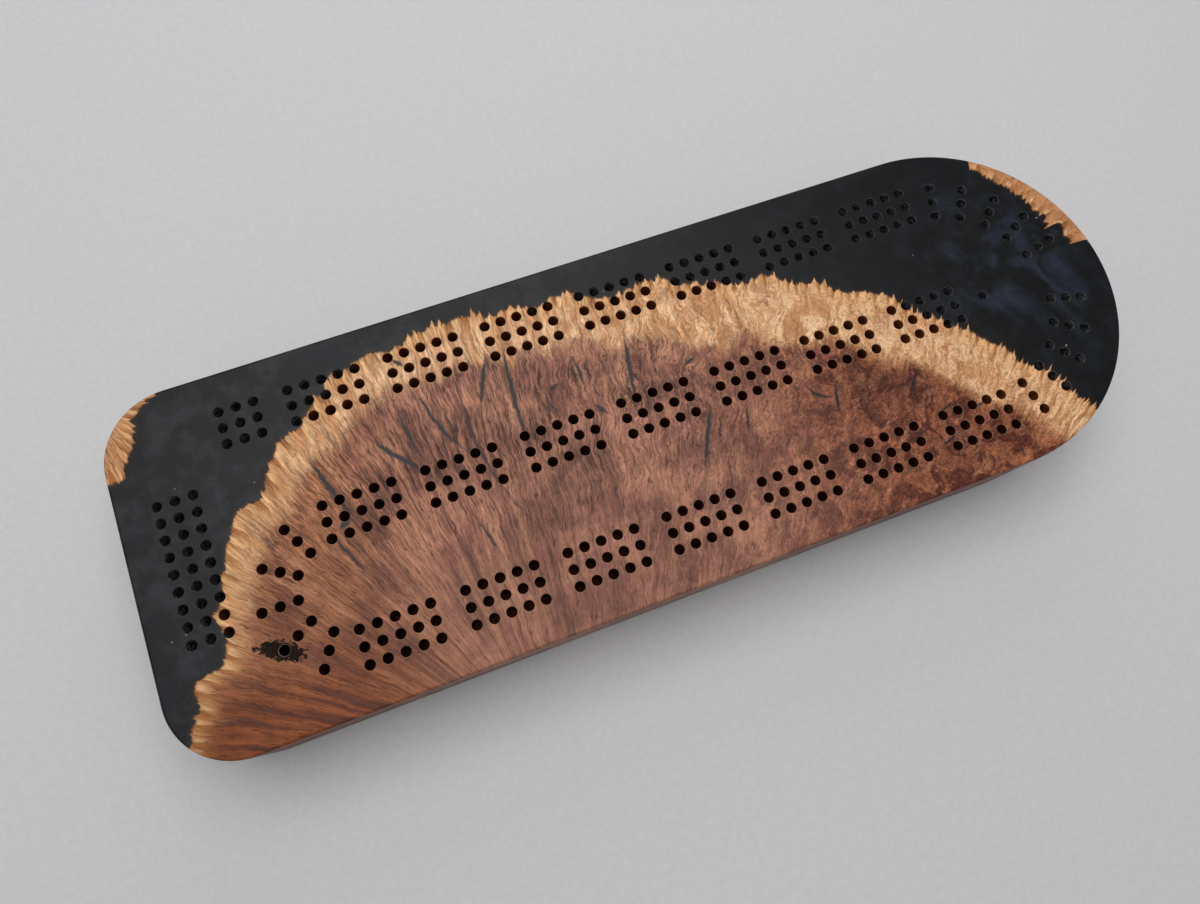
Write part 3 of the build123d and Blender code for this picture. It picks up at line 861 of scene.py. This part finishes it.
    # Fine fibres, curly mottle and short dark dashes lie over it all.
    grain = net.between(net.times(curly_end, 0.6), fibres, speckle)
    lively = net.between(curly_end, net.remap(y, -50, 18, 0.5, 1.3), 1.15)
    contrast = net.times(net.times_plus(in_heart, 0.32, 0.54), lively)
    tint = net.times_plus(net.remap(grain, 0.34, 0.66, -0.5, 0.5), contrast, 0.98)
    wood = net.shaded(wood, tint)
    strong = net.times(net.remap(x, -70, 60, 0.7, 1.5), net.times_plus(in_heart, 0.55, 0.45))
    wood = net.shaded(wood, net.times_plus(net.centred(figure), strong, 1.0))
    curled = net.times(curls, net.times(in_heart, curly_end))
    wood = net.mix(net.times(curled, 0.4), wood, rgb(70, 34, 26))
    dark_dash = net.times(dashes, net.remap(in_heart, 0, 1, 0.25, 0.65))
    wood = net.mix(dark_dash, wood, rgb(62, 34, 24))

    # Cracks and the bark hollow are filled with dark resin.
    shake = net.join(net.times(kink, 1.4), 0.0, 0.0)
    shaken_place = net.vector("MULTIPLY_ADD", place, (1, 1, 0), shake)
    split = inside_cracks(net, crack, shaken_place)
    wood = net.mix(net.remap(split, -0.6, 0.0, 0, 0.45), wood, rgb(52, 34, 30))
    slate = net.mix(net.remap(x, 0, 40), rgb(42, 50, 55), rgb(32, 32, 35))
    wood = net.mix(net.remap(split, -0.06, 0.12, 0, 0.92), wood, slate)
    hollow = hollow_mask(net, shaken_place, net.centred(figure))
    bark = net.mix(net.remap(speckle, 0.45, 0.6), rgb(6, 6, 6), rgb(28, 24, 22))
    wood = net.mix(net.times(hollow, 0.96), wood, bark)

    smooth = net.remap(fibres, 0.3, 0.7, 0.46, 0.38)
    net.feed_all(sink, {"Color": wood, "Height": net.times_plus(dashes, -0.8, fibres),
                        "Roughness": net.times_plus(hollow, 0.5, smooth)})
    return group


# ==== the resin ====

# Where the pearl is strongest, on a place stretched by these shares.
PEARL_STRETCH, PEARL_CENTRE = (1, 0.9, 0), (127, 7, 0)


def resin_group():
    """Near-black resin with a painted reflection that makes it lighter and greyer towards the
    square end, faint blue pearl clouds, strongest at the round end, and specks.
    """
    group, net, source, sink = node_group("resin", "Place", "Color Height Roughness")
    place = source["Place"]
    x, _, _ = net.split(place)
    drift = net.add("TexNoise", {"Vector": place, "Scale": 0.03, "Detail": 2.0})
    drift = net.vector("SUBTRACT", drift.outputs["Color"], (0.5, 0.5, 0.5))
    stretched = net.vector("MULTIPLY", place, (1.35, 0.85, 1))
    warped = net.vector("ADD", stretched, net.scaled(drift, 40.0))
    veil = net.noise(warped, 0.085, 4, 0.6)
    powder = net.noise(place, 2.4, 2, 0.7)
    away = net.vector("DISTANCE", net.vector("MULTIPLY", place, PEARL_STRETCH), PEARL_CENTRE)
    pearl = net.times(net.remap(away, 40, 6, 0.08, 0.65), net.remap(veil, 0.42, 0.72))
    pearl = net.times(pearl, net.remap(powder, 0.35, 0.65, 0.3, 1.4), clamp=True)
    # Painted reflection: the black is lighter towards the square end, as a soft box's reflection
    # would make it.
    base = net.mix(net.remap(x, -40, 60), rgb(16, 17, 19), rgb(7, 8, 10))
    body = net.mix(pearl, base, rgb(47, 56, 74))
    # Grey haze, partly real smudges and partly a painted reflection, stronger towards the square
    # end.
    smudges_and_sheen = net.times(net.remap(net.noise(place, 0.12, 4, 0.7), 0.42, 0.68),
                        net.remap(x, 60, -80, 0.02, 0.07))
    body = net.mix(smudges_and_sheen, body, rgb(120, 122, 128))
    specks = net.remap(net.cells(place, 0.11), 0.045, 0.02)
    body = net.mix(net.times(specks, 0.7), body, rgb(160, 166, 172))
    net.feed_all(sink, {"Color": body, "Height": powder,
                        "Roughness": net.remap(powder, 0.3, 0.7, 0.36, 0.42)})
    return group


# ==== drilled walls ====

DRILLED_INSET = 7.0


def drilled_group():
    """Picks out the walls and floors of the peg holes, by how deep and how far in they lie."""
    group, net, source, sink = node_group("drilled", "Place", "Wall Mouth")
    x, y, z = net.split(source["Place"])
    _, round_reach = reach_from(net, x, y, RIM_CENTRE)
    past_centre = net.maths("GREATER_THAN", x, ROUND_CENTRE_X)
    side_reach = net.maths("MAXIMUM", net.maths("ABSOLUTE", y),
                           net.times(round_reach, past_centre))
    inset = net.maths("MINIMUM", net.minus(BOARD_WIDTH / 2, side_reach), net.minus(x, SQUARE_END))
    well_in = net.times(net.maths("GREATER_THAN", inset, DRILLED_INSET),
                        net.maths("GREATER_THAN", z, BOARD_TOP - HOLE_DEPTH - 0.1))
    wall = net.maths("LESS_THAN", z, BOARD_TOP - HOLE_MOUTH)
    below = net.maths("LESS_THAN", z, BOARD_TOP - HAIR)
    net.feed_all(sink, {"Wall": net.times(well_in, wall),
                        "Mouth": net.times(well_in, net.minus(below, wall))})
    return group


def casting_material(name, groups, takes_height_from):
    """Burl and resin side by side, parted by the jagged live edge."""
    edge, burl, resin, drilled = groups
    material, net, shader, place = new_material(name)
    where = placed_group(net, edge, {"Place": place})
    wood = placed_group(net, burl, {
        "Place": place, **{socket: where[socket] for socket in EDGE_SOCKETS.split()}})
    cast = placed_group(net, resin, {"Place": place})
    drilled_here = placed_group(net, drilled, {"Place": place})
    in_hole, at_mouth = drilled_here["Wall"], drilled_here["Mouth"]
    is_wood = net.remap(where["Depth"], -0.10, 0.10)
    # Painted shade: the walls of the holes in the burl are darkened. Their mouths are paler, partly
    # a worn rim and partly a painted highlight.
    wood_tone = net.mix(in_hole, wood["Color"], rgb(150, 112, 74), "MULTIPLY")
    wood_tone = net.mix(net.times(at_mouth, 0.3), wood_tone, rgb(206, 168, 130))
    halo = net.remap(where["Depth"], -1.4, 0.0, 0, 0.45)
    cast_tone = net.mix(halo, cast["Color"], rgb(58, 40, 26))
    # The drilled walls of the resin holes are lightened, partly frosted by drilling and partly a
    # painted highlight. Their mouths get a paler rim, partly scuffed and partly a painted
    # highlight.
    chatter = net.remap(net.noise(place, 0.8, 2, 0.6), 0.40, 0.66)
    scraped_and_highlit = net.mix(chatter, rgb(34, 34, 36), rgb(100, 101, 104))
    cast_tone = net.mix(in_hole, cast_tone, scraped_and_highlit)
    cast_tone = net.mix(net.times(at_mouth, 0.6), cast_tone, rgb(84, 85, 88))
    smooth = net.between(is_wood, cast["Roughness"], wood["Roughness"])
    height = (wood if takes_height_from == "burl" else cast)["Height"]
    net.feed_all(shader, {
        "Base Color": net.mix(is_wood, cast_tone, wood_tone),
        "Roughness": net.times_plus(in_hole, 0.3, smooth),
        "Specular IOR Level": net.remap(is_wood, 0, 1, 0.17, 0.12),
        "Normal": bumped(net, height, 0.3, 0.05)})
    return material


# ==== woods, metals and rubber of the smaller pieces ====

def straight_grain(name, pale, dark, pore_tone, roughness):
    """Plain sawn wood: long figure along the board, growth lines and short pores."""
    material, net, shader, place = new_material(name)
    x, y, z = net.split(place)
    sway_space = net.join(net.times(x, 0.02), net.times(y, 0.06), z)
    cross = net.times_plus(net.centred(net.noise(sway_space, 1.0, 2)), 9.0, y)
    rings = net.plus(cross, net.times(z, 0.8))
    growth = net.noise(net.join(net.times(x, 0.012), rings, 0.0), 0.55, 4, 0.6)
    fibre_space = net.join(net.times(x, 0.08), cross, z)
    fibres = net.noise(fibre_space, 3.0, 3, 0.6)
    pores = net.remap(net.noise(fibre_space, 5.5, 1), 0.34, 0.27)
    tone = net.mix(net.remap(growth, 0.35, 0.65), pale, dark)
    tone = net.shaded(tone, net.remap(fibres, 0.3, 0.7, 0.86, 1.1))
    net.feed_all(shader, {
        "Base Color": net.mix(net.times(pores, 0.5), tone, pore_tone),
        "Roughness": net.remap(fibres, 0.3, 0.7, roughness + 0.06, roughness - 0.04),
        "Normal": bumped(net, net.times_plus(pores, -0.8, fibres), 0.35, 0.05)})
    return material


METAL_ROUGHNESS = 0.34


def turned_metal(name, tone, worn_tone, metallic=1.0):
    """Lathe-turned metal: fine rings round the peg, faint smears and handling marks."""
    material, net, shader, place = new_material(name)
    x, y, z = net.split(place)
    rings = net.noise(net.join(net.times(x, 0.02), y, net.times(z, 0.02)), 7.0, 2, 0.6)
    smears = net.noise(place, 0.5, 4, 0.6)
    wear = net.remap(smears, 0.5, 0.72)
    smooth = net.remap(rings, 0.3, 0.7, METAL_ROUGHNESS - 0.04, METAL_ROUGHNESS + 0.05)
    net.feed_all(shader, {
        "Base Color": net.mix(wear, tone, worn_tone), "Metallic": metallic,
        "Roughness": net.plus(smooth, net.times(wear, 0.08)),
        "Normal": bumped(net, rings, 0.3, 0.02)})
    return material


def plated_metal(name):
    """Nickel plate on the magnets and the screws."""
    material, net, shader, place = new_material(name)
    smears = net.noise(place, 0.9, 4, 0.6)
    scratches = net.noise(net.vector("MULTIPLY", place, (0.3, 3.0, 1.0)), 2.0, 3, 0.6)
    net.feed_all(shader, {
        "Base Color": net.mix(net.remap(smears, 0.35, 0.7), rgb(196, 196, 198),
                              rgb(170, 169, 168)),
        "Metallic": 1.0, "Roughness": net.remap(smears, 0.3, 0.7, 0.2, 0.34),
        "Normal": bumped(net, scratches, 0.15, 0.02)})
    return material


def rubber(name):
    """Matte black rubber with a little dust."""
    material, net, shader, place = new_material(name)
    grain = net.noise(place, 3.0, 3, 0.6)
    dust = net.remap(net.noise(place, 0.4, 4, 0.65), 0.45, 0.75, 0, 0.5)
    net.feed_all(shader, {
        "Base Color": net.mix(dust, rgb(30, 30, 31), rgb(74, 72, 70)),
        "Roughness": net.remap(grain, 0.3, 0.7, 0.72, 0.85),
        "Normal": bumped(net, grain, 0.5, 0.05)})
    return material


def all_materials():
    """One finished material for each slot of the record."""
    casting = (live_edge_group(spike_group()), burl_group(crack_group()), resin_group(),
               drilled_group())
    return {
        "burl_wood": casting_material("figured_burl", casting, "burl"),
        "black_resin": casting_material("cast_resin", casting, "resin"),
        "panel_wood": straight_grain("dark_board", rgb(112, 74, 52), rgb(78, 48, 33),
                                     rgb(34, 20, 14), 0.5),
        "maple": straight_grain("pale_maple", rgb(226, 196, 156), rgb(205, 168, 124),
                                rgb(150, 108, 72), 0.55),
        "magnet": plated_metal("nickel_plate"),
        "foot_rubber": rubber("black_rubber"),
        "peg_brass": turned_metal("turned_brass", rgb(232, 190, 108), rgb(205, 162, 90)),
        "peg_steel": turned_metal("turned_steel", rgb(214, 214, 216), rgb(186, 186, 190)),
        "peg_black": turned_metal("blackened_steel", rgb(44, 44, 47), rgb(72, 72, 76), 0.7),
    }


# ==== drawer, panel and stop ====

# Faces that turn less than the first angle are joined, edges sharper than the second are eased.
FLAT_ANGLE = 1
SHARP_ANGLE = 35
EASED_WIDTHS = {
    "bottom_panel": 0.35, "drawer_stop": 0.3, "drawer_front": 0.4, "drawer_side_near": 0.35,
    "drawer_side_far": 0.35, "drawer_floor": 0.2, "drawer_back": 0.35, "peg_rack": 0.25,
    "case_magnets": 0.3, "drawer_magnets": 0.3,
}


def softened(node, width):
    """A copy of a frame piece with its flat faces joined up and its sharp edges eased."""
    bm = bmesh.new()
    bm.from_mesh(frame["nodes"][node].data)
    bmesh.ops.scale(bm, vec=(1 / MM, 1 / MM, 1 / MM), verts=bm.verts)
    bmesh.ops.remove_doubles(bm, verts=bm.verts, dist=MERGE_DISTANCE)
    bmesh.ops.dissolve_limit(bm, angle_limit=math.radians(FLAT_ANGLE), verts=bm.verts,
                             edges=bm.edges)
    sharp = [e for e in bm.edges
             if e.is_manifold and e.calc_face_angle() > math.radians(SHARP_ANGLE)]
    eased(bm, sharp, width, segments=2)
    millimetres(bm)
    return as_object(bm, node + "_piece")


# ==== turned pieces ====

def turned_mesh(name, outline, sides):
    """A mesh spun from an outline of (radius, height) points, closed at its poles."""
    bm = bmesh.new()
    verts = [bm.verts.new((radius, 0, height)) for radius, height in outline]
    edges = [bm.edges.new(pair) for pair in zip(verts, verts[1:])]
    bmesh.ops.spin(bm, geom=verts + edges, cent=(0, 0, 0), axis=(0, 0, 1), angle=math.tau,
                   steps=sides, use_merge=True)
    bmesh.ops.remove_doubles(bm, verts=bm.verts, dist=MERGE_DISTANCE / 10)
    bmesh.ops.recalc_face_normals(bm, faces=bm.faces)
    mesh = bpy.data.meshes.new(name)
    bm.to_mesh(mesh)
    bm.free()
    return mesh


def copies(mesh, placings):
    """Copies of a mesh, each placed by a matrix in millimetres."""
    bm = bmesh.new()
    for placing in placings:
        copy = mesh.copy()
        copy.transform(placing)
        bm.from_mesh(copy)
        bpy.data.meshes.remove(copy)
    return bm


def set_out(name, mesh, placings):
    """One object from copies of a mesh."""
    bm = copies(mesh, placings)
    millimetres(bm)
    return as_object(bm, name)


# A peg from its pin to its rounded head: radius and height in millimetres.
PEG_OUTLINE = [
    (0, 0), (0.9, 0), (1.25, 0.12), (1.5, 0.5), (1.55, 11.0), (1.7, 11.3), (2.0, 12.6),
    (2.38, 13.7), (2.4, 14.2), (2.4, 15.6), (2.2, 15.8), (2.2, 16.2), (2.4, 16.4), (2.4, 17.0),
    (2.2, 17.2), (2.2, 17.6), (2.4, 17.8), (2.4, 33.6), (2.3, 34.5), (1.95, 35.3), (1.3, 35.85),
    (0.6, 36), (0, 36),
]
PEG_LENGTH = 36
PEG_RADIUS = 2.4
PEG_SIDES, FOOT_SIDES, SCREW_SIDES = 24, 40, 24
FOOT_OUTLINE = [(0, 2.4), (6, 2.4), (6, 1.5), (5.8, 0.9), (5.3, 0.35), (4.5, 0.06), (3.6, 0),
                (0, 0)]


def pegs(node):
    """Three turned pegs lying in the rack, where the frame has them."""
    low, high = (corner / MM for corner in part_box(node))
    step = (high.x - low.x - 2 * PEG_RADIUS) / 2
    mesh = turned_mesh(node + "_outline", PEG_OUTLINE, PEG_SIDES)
    lying = Matrix.Rotation(math.radians(90), 4, "X")
    axis_z = (low.z + high.z) / 2
    return set_out(node + "_piece", mesh, [
        Matrix.Translation((low.x + PEG_RADIUS + i * step, PEG_LENGTH / 2, axis_z)) @ lying
        for i in range(3)])


def foot(node):
    """A rubber bumper with a rounded tread."""
    low, high = (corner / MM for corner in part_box(node))
    centre = ((low.x + high.x) / 2, (low.y + high.y) / 2, 0)
    mesh = turned_mesh(node + "_outline", FOOT_OUTLINE, FOOT_SIDES)
    return set_out(node + "_piece", mesh, [Matrix.Translation(centre)])


# A countersunk screw: its head lies just under the panel's face, which is at height 0.
SCREW_OUTLINE = [(0, 0.25), (0.5, 0.25), (0.5, -HAIR), (1.9, -HAIR), (2.05, 0.03), (2.05, 0.2),
                 (1.2, 1.2), (0, 1.2)]
SCREW_INSET_X, SCREW_INSET_Y = 12, 3.6


def panel_screws():
    """Six small screws that hold the bottom panel."""
    low, high = PANEL_LOW, PANEL_HIGH
    columns = (low.x + SCREW_INSET_X, (low.x + high.x) / 2, high.x - SCREW_INSET_X)
    mesh = turned_mesh("screw_outline", SCREW_OUTLINE, SCREW_SIDES)
    return set_out("panel_screws", mesh, [
        Matrix.Translation((x, side * (high.y - SCREW_INSET_Y), low.z))
        for x in columns for side in (-1, 1)])


# ==== putting it together ====

def floor_material():
    """Pale matte paper."""
    material, net, shader, place = new_material("pale_floor")
    grain = net.noise(place, 0.5, 4, 0.6)
    net.feed_all(shader, {
        "Base Color": net.mix(net.remap(grain, 0.3, 0.7), rgb(193, 193, 195),
                              rgb(198, 198, 200)),
        "Roughness": 0.85, "Normal": bumped(net, grain, 0.3, 0.2)})
    return material


def dressed(piece, slot, materials, body, *nodes):
    """Gives a piece its material and its body, and lets it stand for a frame node."""
    piece.data.materials.clear()
    piece.data.materials.append(materials[slot])
    if nodes:
        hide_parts(*nodes)
    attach(piece, body)


def dress_board_box(materials):
    """Every piece of the board, its case and its drawer."""
    made = casting_pieces()
    made.update({node: softened(node, width) for node, width in EASED_WIDTHS.items()})
    made.update({node: pegs(node) for node in ("pegs_brass", "pegs_steel", "pegs_black")})
    made.update({node: foot(node) for node in (
        "foot_square_near", "foot_square_far", "foot_round_near", "foot_round_far")})
    slots = {item["node"]: item["material_slot"] for item in frame["record"]["subparts"]}
    drawer = frame["record"]["behaviour"]["bodies"]["drawer"]
    for node, piece in made.items():
        body = "drawer" if node in drawer else "board"
        dressed(piece, slots[node], materials, body, node)
    dressed(panel_screws(), "magnet", materials, "board")


dress_board_box(all_materials())
stage_floor(floor_material())
studio()
camera()
bpy.context.scene.view_settings.view_transform = "Standard"
